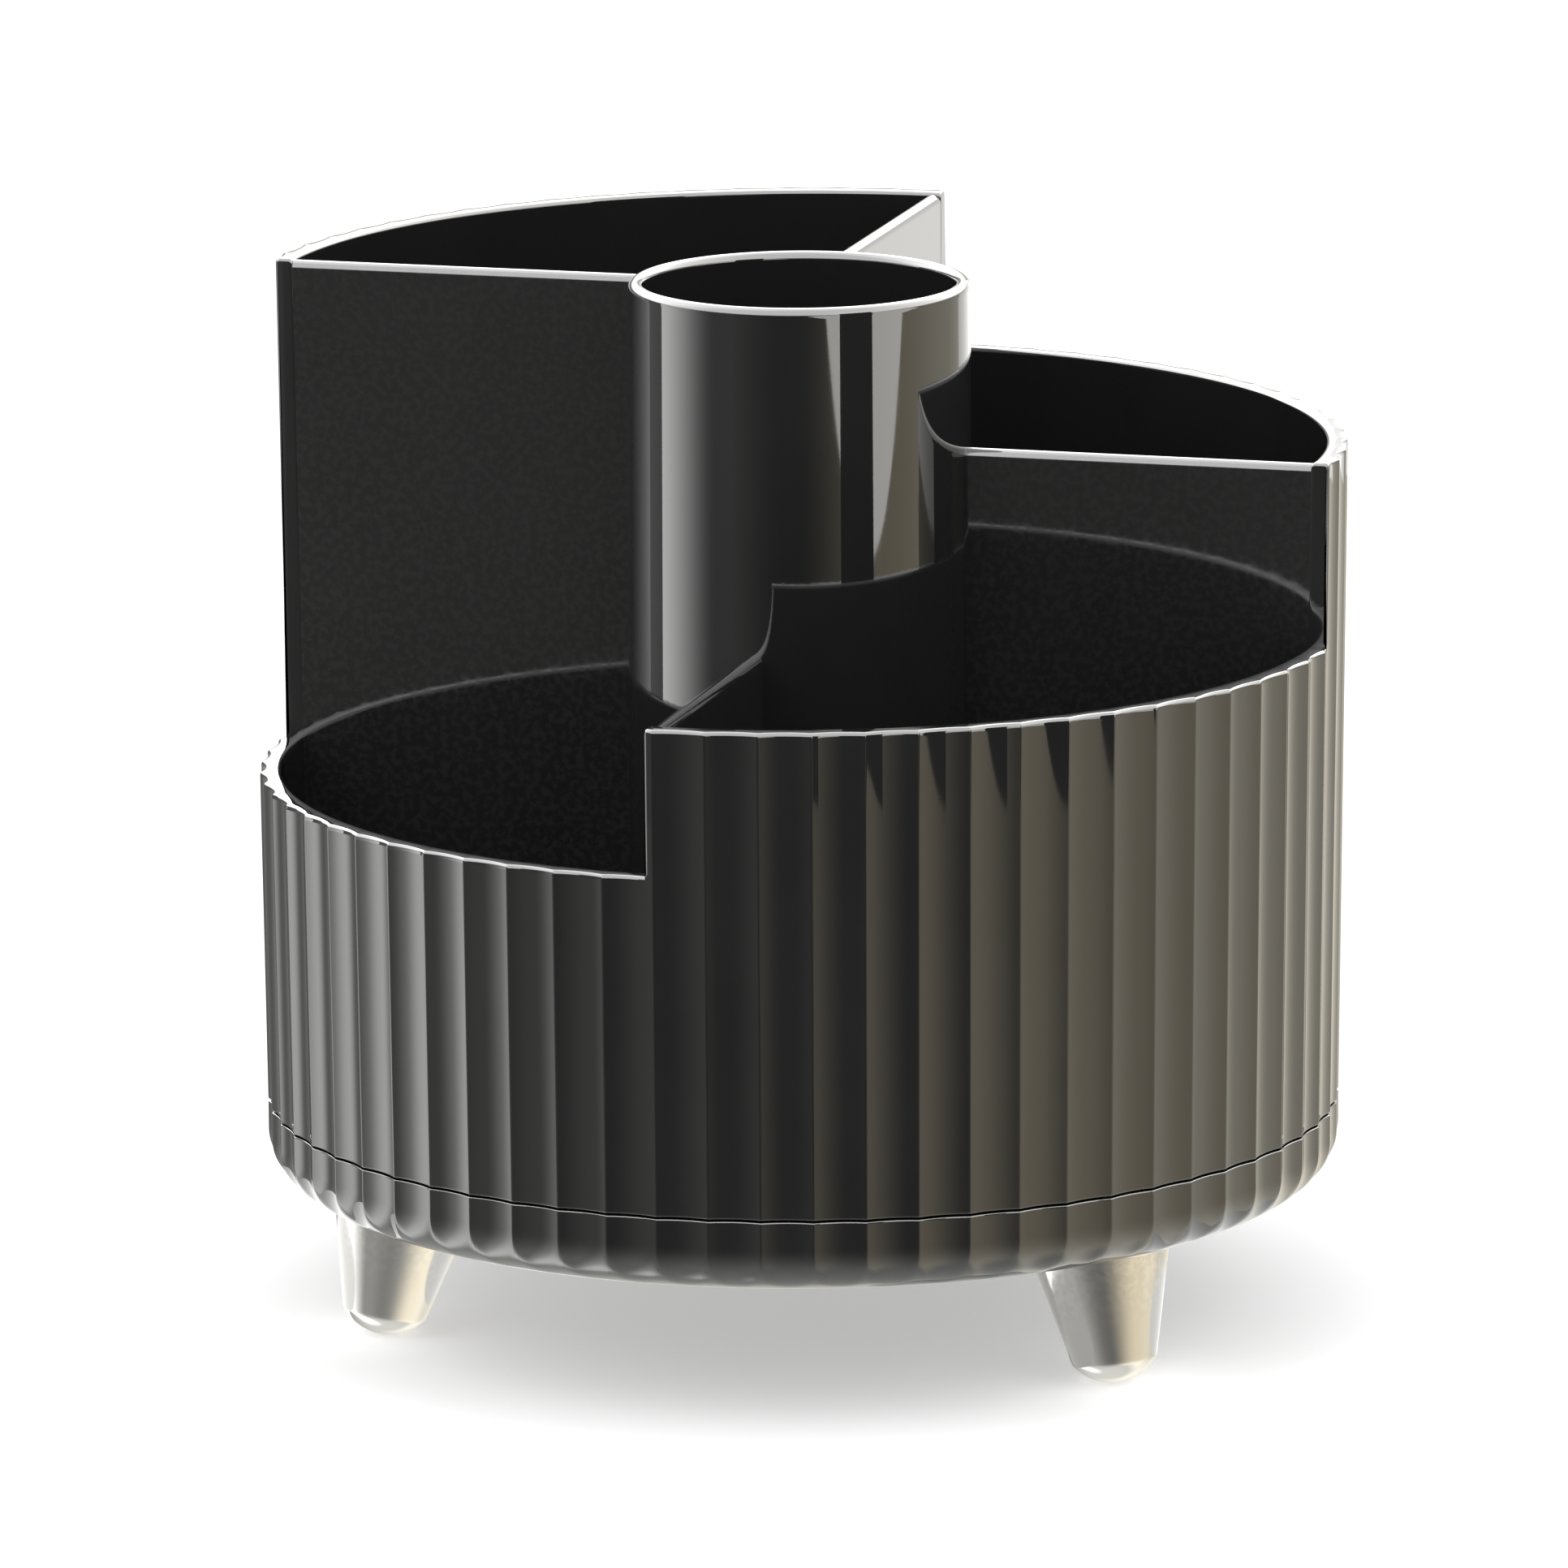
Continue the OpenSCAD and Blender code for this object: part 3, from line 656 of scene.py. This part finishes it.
@dataclass
class Foot:
    """A plated, tapered foot with a domed end that leans outward, and its thin collar."""

    node: str
    turn: float
    tip: float = 64.9  # distance of its end from the cup's axis
    lean: float = math.radians(10.5)
    taper: float = math.radians(13.9)
    end: float = 6.25  # radius where the cone meets the dome
    dome: float = 3.3
    flat: float = 0.1  # depth that the ground takes off the dome
    crease: float = 0.35
    top: float = 22.4
    collar: float = 11.2
    collar_low: float = 20.4
    collar_high: float = 21.6

    def profile(self) -> np.ndarray:
        """Section from the ground up: a cap of a sphere, a tight crease, then the cone.

        The crease is a quadratic curve between a point on the cap and one on the cone.

        Returns:
            Radius and length pairs along the foot's own axis.
        """
        ball = (self.end**2 + self.dome**2) / (2 * self.dome)
        last = math.asin(self.end / ball)
        a = np.linspace(0, last - self.crease / ball, 26)
        cap = np.stack([ball * np.sin(a), ball * (1 - np.cos(a))], axis=1)
        corner = np.array([self.end, self.dome])
        cone = np.array([math.tan(self.taper), 1.0])
        after = corner + cone * self.crease
        t = np.linspace(0, 1, 6)[1:, None]
        bend = (1 - t) ** 2 * cap[-1] + 2 * t * (1 - t) * corner + t**2 * after
        up = corner + cone * np.array([[0.8], [4.0], [19.0]])
        return np.vstack([cap, bend, up])

    def build(self, finish: bpy.types.Material) -> bpy.types.Object:
        """Builds the foot, leaned about its tip, ground level below and ended inside the dish.

        Args:
            finish: Bright plating.

        Returns:
            The piece that stands for the CAD foot.
        """
        grid = revolved(self.profile(), 120)
        c, s = math.cos(self.lean), math.sin(self.lean)
        x = grid[..., 0] * c - grid[..., 2] * s + self.tip
        z = np.maximum(grid[..., 0] * s + grid[..., 2] * c - self.flat, 0.0)
        y = grid[..., 1]
        share = (self.top - z[:, -2]) / (z[:, -1] - z[:, -2])
        for values in (x, y, z):
            values[:, -1] = values[:, -2] + share * (values[:, -1] - values[:, -2])
        side = np.stack([x, y, z], axis=-1)
        middle = np.broadcast_to([FOOT_CIRCLE, 0.0, self.top], side[:, :1].shape)
        shell = Shell(self.node + "_plated")
        low, high = self.collar_low, self.collar_high
        ring = np.vstack([
            [[0, low], [self.collar - 0.6, low]],
            arc((self.collar - 0.35, low + 0.35), 0.35, 270, 360, 5),
            [[self.collar, high], [0, high]],
        ])
        collar = revolved(ring, 120) + [FOOT_CIRCLE, 0.0, 0.0]
        for part in (np.hstack([side, middle]), collar):
            shell.loft(about_z(part, self.turn), round_v=False)
        return shell.piece(Body.BASE, finish, (self.node,))


# Finishes


class Net:
    """A node tree under construction."""

    def __init__(self, tree: bpy.types.NodeTree) -> None:
        """Keeps the tree and empties it."""
        self.tree = tree
        tree.nodes.clear()

    def add(self, kind: str, links: dict | None = None, **values: object) -> bpy.types.Node:
        """Adds a node.

        Args:
            kind: Class name without its prefix.
            links: Input name or number to the socket or value that feeds it.
            values: Properties of the node.

        Returns:
            The node.
        """
        node = self.tree.nodes.new("ShaderNode" + kind)
        for name, value in values.items():
            setattr(node, name, value)
        for key, value in (links or {}).items():
            if isinstance(value, bpy.types.NodeSocket):
                self.tree.links.new(value, node.inputs[key])
            else:
                node.inputs[key].default_value = value
        return node

    def math(self, operation: str, a: object, b: object = 0.0, clamp: bool = False) -> bpy.types.NodeSocket:
        """Adds a Math node and returns its output."""
        return self.add("Math", {0: a, 1: b}, operation=operation, use_clamp=clamp).outputs[0]

    def remap(self, value: object, low: float, high: float, to: tuple = (0.0, 1.0),
              soft: bool = True) -> bpy.types.NodeSocket:
        """Adds a Map Range node, smooth or straight, and returns its output."""
        node = self.add("MapRange", {"Value": value, "From Min": low, "From Max": high, "To Min": to[0],
                                     "To Max": to[1]}, interpolation_type="SMOOTHSTEP" if soft else "LINEAR")
        return node.outputs["Result"]

    def bearing(self, way: bpy.types.NodeSocket, middle: float) -> bpy.types.NodeSocket:
        """Adds the bearing of a direction, in degrees from a middle one seen from the viewer."""
        angle = -math.radians(middle) - VIEW_TURN
        turned = self.add("VectorRotate", {"Vector": way, "Angle": angle}, rotation_type="Z_AXIS")
        part = self.add("SeparateXYZ", {0: turned.outputs[0]})
        return self.math("MULTIPLY", self.math("ARCTAN2", part.outputs[1], part.outputs[0]), DEGREES)


def new_material(name: str) -> tuple[bpy.types.Material, Net]:
    """Makes an empty material, with its net."""
    made = bpy.data.materials.new(name)
    made.use_nodes = True
    return made, Net(made.node_tree)


def new_group(name: str, inputs: dict[str, float], outputs: tuple[str, ...]) -> tuple:
    """Starts a shader node group with named number sockets.

    Args:
        name: The group's name.
        inputs: Input names with their defaults.
        outputs: Output names.

    Returns:
        The group's net, what comes in and what goes out.
    """
    tree = bpy.data.node_groups.new(name, "ShaderNodeTree")
    for key, value in inputs.items():
        socket = tree.interface.new_socket(key, in_out="INPUT", socket_type="NodeSocketFloat")
        socket.default_value = value
    for key in outputs:
        tree.interface.new_socket(key, in_out="OUTPUT", socket_type="NodeSocketFloat")
    net = Net(tree)
    return net, tree.nodes.new("NodeGroupInput").outputs, tree.nodes.new("NodeGroupOutput").inputs


def wear_group() -> None:
    """Makes rubbed edges: convex edges from the mesh's pointiness, broken up by noise."""
    net, given, out = new_group("edge_rub", {"Reach": 0.06, "Breakup": 900.0}, ("Mask",))
    flat_level = 0.53
    point = net.add("NewGeometry").outputs["Pointiness"]
    place = net.add("TexCoord").outputs["Object"]
    noise = net.add("TexNoise", {"Vector": place, "Scale": given["Breakup"], "Detail": 4.0})
    raised = net.math("SUBTRACT", point, flat_level)
    share = net.math("DIVIDE", raised, given["Reach"], clamp=True)
    broken = net.remap(noise.outputs["Fac"], 0.42, 0.62)
    net.tree.links.new(net.math("MULTIPLY", share, broken), out["Mask"])


def scratch_group() -> None:
    """Makes hair-fine handling scratches: long thin noise cells in two directions."""
    net, given, out = new_group("hair_scratches", {"Density": 1400.0, "Length": 60.0}, ("Mask", "Height"))
    place = net.add("TexCoord").outputs["Object"]
    masks = []
    for turn in (0.4, -0.9):
        lay = net.add("CombineXYZ", {0: given["Density"], 1: given["Density"], 2: given["Length"]})
        turned = net.add("VectorRotate", {"Vector": place, "Axis": (0.3, 1.0, 0.2), "Angle": turn})
        stretched = net.add("VectorMath", {0: turned.outputs[0], 1: lay.outputs[0]}, operation="MULTIPLY")
        noise = net.add("TexNoise", {"Vector": stretched.outputs[0], "Scale": 1.0, "Detail": 2.0})
        masks.append(net.remap(noise.outputs["Fac"], 0.66, 0.72))
    both = net.math("MAXIMUM", masks[0], masks[1])
    net.tree.links.new(both, out["Mask"])
    net.tree.links.new(net.math("MULTIPLY", both, -1.0), out["Height"])


def mottle_group() -> None:
    """Makes slow and fine variation, for polish, smudges and tone."""
    net, given, out = new_group("mottle", {"Broad": 35.0, "Fine": 2600.0}, ("Smudge", "Grain"))
    place = net.add("TexCoord").outputs["Object"]
    broad = net.add("TexNoise", {"Vector": place, "Scale": given["Broad"], "Detail": 3.0, "Roughness": 0.6})
    fine = net.add("TexNoise", {"Vector": place, "Scale": given["Fine"], "Detail": 2.0})
    net.tree.links.new(net.remap(broad.outputs["Fac"], 0.35, 0.7), out["Smudge"])
    net.tree.links.new(fine.outputs["Fac"], out["Grain"])


class Groups(Enum):
    """Shared effects, by name."""

    WEAR = "edge_rub"
    SCRATCH = "hair_scratches"
    MOTTLE = "mottle"


def make_groups() -> None:
    """Builds each shared node group once."""
    wear_group()
    scratch_group()
    mottle_group()


@dataclass(frozen=True)
class Finish:
    """One finish: its colours, gloss and how much each shared effect shows."""

    name: str
    colour: tuple
    rub_colour: tuple
    roughness: float
    smudge: float = 0.02
    rub_rough: float = 0.1
    metallic: float = 0.0
    ior: float = 1.5
    scratch: float = 0.02
    grain: float = 0.0
    grain_scale: float = 2600.0
    tone: float = 0.1

    def material(self) -> bpy.types.Material:
        """Makes the material: colour, roughness and bump from the shared groups.

        Returns:
            The material.
        """
        made, net = new_material(self.name)
        group = {g: net.add("Group", node_tree=bpy.data.node_groups[g.value]) for g in Groups}
        group[Groups.MOTTLE].inputs["Fine"].default_value = self.grain_scale
        rub = group[Groups.WEAR].outputs["Mask"]
        scratch = group[Groups.SCRATCH].outputs["Mask"]
        smudge = group[Groups.MOTTLE].outputs["Smudge"]
        grain = group[Groups.MOTTLE].outputs["Grain"]
        dark = tuple(c * (1 - self.tone) for c in self.colour)
        toned = net.add("Mix", {"Factor": smudge, "A": (*dark, 1), "B": (*self.colour, 1)}, data_type="RGBA")
        body = net.add("Mix", {"Factor": rub, "A": toned.outputs["Result"], "B": (*self.rub_colour, 1)},
                       data_type="RGBA")
        rough = net.remap(smudge, 0, 1, (self.roughness, self.roughness + self.smudge), soft=False)
        rough = net.math("ADD", rough, net.math("MULTIPLY", rub, self.rub_rough))
        rough = net.math("ADD", rough, net.math("MULTIPLY", scratch, self.scratch * 2))
        height = net.math("MULTIPLY", group[Groups.SCRATCH].outputs["Height"], self.scratch)
        height = net.math("ADD", height, net.math("MULTIPLY", grain, self.grain))
        bump = net.add("Bump", {"Height": height, "Distance": 0.0001, "Strength": 0.5})
        shader = net.add("BsdfPrincipled", {"Base Color": body.outputs["Result"], "Roughness": rough,
                                            "Normal": bump.outputs[0], "Metallic": self.metallic,
                                            "IOR": self.ior})
        net.add("OutputMaterial", {"Surface": shader.outputs[0]})
        return made


FINISHES = (
    Finish("gloss_black", (0.0172, 0.0172, 0.0172), (0.030, 0.030, 0.030), 0.022, smudge=0.022,
           rub_rough=0.06, scratch=0.004, tone=0.12),
    Finish("foot_plating", (0.35, 0.346, 0.337), (0.41, 0.40, 0.39), 0.13, smudge=0.02, rub_rough=0.06,
           metallic=1.0, scratch=0.006, tone=0.02),
    Finish("screw_zinc", (0.62, 0.63, 0.65), (0.75, 0.75, 0.76), 0.28, smudge=0.12, metallic=1.0,
           scratch=0.06, grain=0.04, tone=0.2),
    Finish("race_steel", (0.42, 0.43, 0.45), (0.62, 0.62, 0.62), 0.32, smudge=0.14, metallic=1.0,
           scratch=0.08, grain=0.05, tone=0.25),
    Finish("ball_steel", (0.72, 0.72, 0.73), (0.78, 0.78, 0.78), 0.07, smudge=0.05, metallic=1.0,
           scratch=0.02, tone=0.08),
    Finish("white_acetal", (0.74, 0.72, 0.66), (0.80, 0.79, 0.75), 0.38, smudge=0.1, scratch=0.05,
           grain=0.05, tone=0.07),
    Finish("brass_insert", (0.60, 0.42, 0.17), (0.75, 0.58, 0.30), 0.26, smudge=0.12, metallic=1.0,
           scratch=0.06, grain=0.03, tone=0.2),
    Finish("cap_black", (0.012, 0.012, 0.012), (0.05, 0.05, 0.05), 0.42, smudge=0.12, scratch=0.05,
           grain=0.16, grain_scale=1500.0, tone=0.2),
)


@dataclass
class TurningParts:
    """The turntable's parts, which keep the frame's shapes and get their finish."""

    slots: dict = field(default_factory=lambda: {
        "foot_screws": "screw_zinc", "foot_washers": "screw_zinc", "lower_race": "race_steel",
        "upper_race": "race_steel", "lower_race_screws": "screw_zinc", "upper_race_screws": "screw_zinc",
        "ball_cage": "white_acetal", "bearing_balls": "ball_steel", "pivot_bush": "white_acetal",
        "thrust_washer": "brass_insert", "spring_washer": "race_steel", "pivot_bolt": "screw_zinc",
        "threaded_insert": "brass_insert", "hub_cap": "cap_black",
    })

    def dress(self, finishes: dict[str, bpy.types.Material]) -> None:
        """Puts each finish in its node's material slots.

        Args:
            finishes: Materials by name.
        """
        for node, finish in self.slots.items():
            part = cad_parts[node]
            for held in part.material_slots:
                held.material = finishes[finish]
            if not part.material_slots:
                part.data.materials.append(finishes[finish])
            log.info("%s: %s", node, finish)


# Studio


@dataclass(frozen=True)
class Glow:
    """A soft light area that mirror rays see, in degrees of bearing and elevation.

    The bearing counts from the viewer's right, half is half the width, edge the width of the
    soft sides, and fade the height of the soft ends beyond low and high.
    """

    bearing: float
    half: float
    edge: float
    low: float
    high: float
    fade: float
    colour: tuple


@dataclass
class Studio:
    """Pale floor, white surroundings, soft light and the photograph's viewpoint."""

    glows: tuple = (
        Glow(160, 14, 20, -60, 75, 22, (1.6, 1.6, 1.58)),
        Glow(168, 22, 34, -60, 75, 22, (1.9, 1.9, 1.88)),
        Glow(192, 42, 50, -50, 40, 20, (0.46, 0.46, 0.44)),
        Glow(112, 30, 30, -50, 10, 20, (0.3, 0.3, 0.29)),
        Glow(332.5, 31, 67, -48, 40, 20, (1.75, 1.53, 1.10)),
        Glow(40, 45, 50, -50, 60, 20, (1.4, 1.31, 1.09)),
        Glow(0, 200, 1, 18, 90, 12, (11.0, 11.0, 11.0)),
    )
    dim: float = 0.045  # level between the glows
    under: float = 1.75  # level straight down
    floor_lift: float = 0.38  # light of the floor that only the camera sees

    def world(self) -> None:
        """Makes the surroundings: white to the camera, plain to matt surfaces, lamps to mirrors.

        For mirror rays each glow is a smooth mask in bearing and height, and the light rises
        towards straight down as from a pale floor.
        """
        world = bpy.data.worlds.new("studio")
        bpy.context.scene.world = world
        world.use_nodes = True
        world.cycles.sampling_method = "NONE"
        net = Net(world.node_tree)
        way = net.add("TexCoord").outputs["Generated"]
        slope = net.math("ARCSINE", net.add("SeparateXYZ", {0: way}).outputs[2])
        rise = net.math("MULTIPLY", slope, DEGREES)
        down = net.remap(net.math("MULTIPLY", rise, -1.0), 10, 80, (0, self.under))
        level = net.math("ADD", down, self.dim)
        total = net.add("CombineXYZ", {0: level, 1: level, 2: net.math("MULTIPLY", level, 0.95)}).outputs[0]
        for glow in self.glows:
            off = net.math("ABSOLUTE", net.bearing(way, glow.bearing))
            side = net.remap(off, glow.half - glow.edge / 2, glow.half + glow.edge / 2, (1, 0))
            lower = net.remap(rise, glow.low - glow.fade, glow.low)
            upper = net.remap(rise, glow.high, glow.high + glow.fade, (1, 0))
            mask = net.math("MULTIPLY", net.math("MULTIPLY", side, lower), upper)
            lit = net.add("VectorMath", {0: glow.colour, "Scale": mask}, operation="SCALE")
            total = net.add("VectorMath", {0: total, 1: lit.outputs[0]}, operation="ADD").outputs[0]
        rays = net.add("LightPath")
        mirror, plain, white = (
            net.add("Background", {"Color": colour, "Strength": 1.0}).outputs[0]
            for colour in (total, (0.8, 0.8, 0.8, 1), (1, 1, 1, 1))
        )
        seen = net.math("MAXIMUM", rays.outputs["Is Camera Ray"], rays.outputs["Is Transmission Ray"])
        mix = net.add("MixShader", {0: rays.outputs["Is Glossy Ray"], 1: plain, 2: mirror})
        last = net.add("MixShader", {0: seen, 1: mix.outputs[0], 2: white})
        net.add("OutputWorld", {"Surface": last.outputs[0]})

    def card(self, name: str, grid: np.ndarray, shine: tuple, colour: tuple, span: tuple = (0, 0)) -> None:
        """Makes a card that only mirror rays see: a screen, a dark flag or a light.

        Args:
            name: Name of the card.
            grid: Corner points in millimetres, shaped (rows, columns, 3), from the viewer's side.
            shine: Strengths of its light at the two ends of the span.
            colour: Colour of its light.
            span: Bearings in degrees between which the shine fades smoothly, or two equal ones.
        """
        quads = grid_quads(np.arange(grid[..., 0].size).reshape(grid.shape[:2]))
        points = about_z(grid, VIEW_TURN).reshape(-1, 3) * MM
        mesh = bpy.data.meshes.new(name)
        mesh.from_pydata(points.tolist(), [], quads.tolist())
        card = placed(name, mesh)
        material, net = new_material(name)
        strength = shine[0]
        if span[0] != span[1]:
            place = net.add("TexCoord").outputs["Object"]
            strength = net.remap(net.bearing(place, span[0]), 0, span[1] - span[0], shine)
        glow = net.add("Emission", {"Color": (*colour, 1), "Strength": strength})
        net.add("OutputMaterial", {"Surface": glow.outputs[0]})
        mesh.materials.append(material)
        for ray in ("camera", "diffuse", "transmission", "volume_scatter", "shadow"):
            setattr(card, "visible_" + ray, False)

    def cards(self) -> None:
        """Sets up the cards: curved screens, a flat flag, an oval light and floor areas.

        A screen is a part of a cylinder about the axis, from one bearing to another. The light is
        an oval in the plane of the flag, a little behind it. The floor areas are small discs that
        show in the feet: the two dimmest, under the dish, are painted shade that stands for the
        floor's shadow there, and the others stand for lit floor.
        """
        distance, screen_top, steps = 400, 220.0, 24
        for name, start, stop, low, shine, colour, span in (
            ("left_screen", 167, 226, 8, (5.9, 0.42), (1, 1, 0.99), (170, 213)),
            ("left_flag", 146, 167, 8, (0.55, 0.55), (1, 1, 1), (0, 0)),
            ("rear_screen", 42, 76, 55, (2.45, 2.45), (1, 0.99, 0.96), (0, 0)),
        ):
            angle = np.radians(np.linspace(start, stop, steps))
            ring = np.stack([distance * np.cos(angle), distance * np.sin(angle)], axis=1)
            rows = [np.column_stack([ring, np.full(steps, z)]) for z in (low, screen_top)]
            self.card(name, np.stack(rows), shine, colour, span)
        right, left = np.array([569.0, -493.0]), np.array([342.0, -684.0])
        flag = np.array([[[*left, -75.0], [*right, -55.0]], [[*left, 425.0], [*right, 425.0]]])
        self.card("right_flag", flag, (0.02, 0.02), (1, 1, 1))
        along = (right - left) / np.linalg.norm(right - left)
        oval, stretch, oval_height = 160.0, 4, 135.0
        radius, angle = np.meshgrid([1.0, oval], np.radians(np.linspace(0, 360, 65)), indexing="ij")
        behind = right * 1.02
        across = stretch * radius * np.cos(angle)
        disc = np.stack([behind[0] + along[0] * across, behind[1] + along[1] * across,
                         oval_height + radius * np.sin(angle)], axis=-1)
        self.card("oval_light", disc, (7.0, 7.0), (1, 0.985, 0.94))
        # The first two discs are painted shade: dimmer than the light below them, they stand for the floor's
        # shadow under the dish where the feet reflect it. The other three stand for lit floor.
        for name, x, y, size, shine in (
            ("floor_shade", 24, -8, 32, 0.8), ("floor_shade_front", 24, -50, 14, 1.0),
            ("floor_middle", -38, -12, 13, 1.6), ("floor_far_left", -88, 10, 30, 2.1),
            ("floor_far_right", 72, -20, 24, 1.6),
        ):
            share = size / oval
            patch = np.stack([x + radius * np.cos(angle) * share, y + radius * np.sin(angle) * share,
                              np.full_like(radius, 0.3)], axis=-1)
            self.card(name, patch, (shine, shine), (1, 1, 0.98))

    def floor(self) -> None:
        """Makes the pale floor, a flat disc under the feet that keeps the object's shadow."""
        radius, corners = 4, 96
        angle = np.linspace(0, 2 * np.pi, corners + 1)[:-1]
        rim = np.stack([radius * np.cos(angle), radius * np.sin(angle), np.zeros(corners)], axis=1)
        mesh = bpy.data.meshes.new("floor")
        mesh.from_pydata(rim.tolist(), [], [list(range(corners))])
        floor = placed("floor", mesh)
        material, net = new_material("pale_floor")
        rays = net.add("LightPath")
        place = net.add("TexCoord").outputs["Object"]
        noise = net.add("TexNoise", {"Vector": place, "Scale": 3.0})
        tint = net.add("Mix", {"Factor": noise.outputs["Fac"], "A": (0.90, 0.90, 0.90, 1),
                               "B": (0.93, 0.93, 0.93, 1)}, data_type="RGBA")
        lift = net.math("MULTIPLY", rays.outputs["Is Camera Ray"], self.floor_lift)
        shader = net.add("BsdfPrincipled", {"Base Color": tint.outputs["Result"], "Roughness": 0.9,
                                            "Specular IOR Level": 0.0, "Emission Color": (1, 1, 1, 1),
                                            "Emission Strength": lift})
        net.add("OutputMaterial", {"Surface": shader.outputs[0]})
        mesh.materials.append(material)
        floor.visible_glossy = False

    def lamps(self) -> None:
        """Makes two large soft lamps, above left and above right of the viewer."""
        away, aim = 1.6, Vector((0, 0, 0.08))
        for name, bearing, height, power in (("lamp_left", 215, 1.6, 9.0), ("lamp_right", 330, 1.4, 6.0)):
            data = bpy.data.lights.new(name, "AREA")
            data.size = 1.4
            data.energy = power
            lamp = placed(name, data)
            angle = math.radians(bearing) + VIEW_TURN
            place = Vector((away * math.cos(angle), away * math.sin(angle), height))
            lamp.location = place
            lamp.rotation_euler = (aim - place).to_track_quat("-Z", "Y").to_euler()
            lamp.visible_glossy = False
            lamp.visible_camera = False

    def camera(self) -> None:
        """Places the camera as fitted to the photograph: a long lens, slightly above the rims."""
        down, roll, distance = 0.2178235, -0.0057204, 1.77745
        ahead = Vector((0, math.cos(down), -math.sin(down)))
        side, rise = Vector((1, 0, 0)), Vector((0, math.sin(down), math.cos(down)))
        right = side * math.cos(roll) + rise * math.sin(roll)
        above = rise * math.cos(roll) - side * math.sin(roll)
        aim = Vector((-2.617, 0, 79.27)) * MM
        place = aim - ahead * distance
        pose = Matrix.Translation(place) @ Matrix((right, above, -ahead)).transposed().to_4x4()
        data = bpy.data.cameras.new("view")
        data.sensor_width = 36.0
        data.lens = 275.35
        data.clip_end = 50.0
        camera = placed("view", data)
        camera.matrix_world = Matrix.Rotation(VIEW_TURN, 4, "Z") @ pose
        bpy.context.scene.camera = camera

    def build(self) -> None:
        """Makes the whole studio."""
        self.world()
        self.floor()
        self.cards()
        self.lamps()
        self.camera()
        bpy.context.scene.view_settings.view_transform = "Standard"


def main() -> None:
    """Builds the studio and every piece, in order."""
    logging.basicConfig(level=logging.INFO, format="%(name)s: %(message)s")
    Studio().build()
    make_groups()
    finishes = {finish.name: finish.material() for finish in FINISHES}
    FlutedCup().build(finishes["gloss_black"])
    BaseDish().build(finishes["gloss_black"])
    for index, node in enumerate(("foot_rear", "foot_left", "foot_right")):
        Foot(node, foot_turn(index)).build(finishes["foot_plating"])
    TurningParts().dress(finishes)


if __name__ == "__main__":
    main()
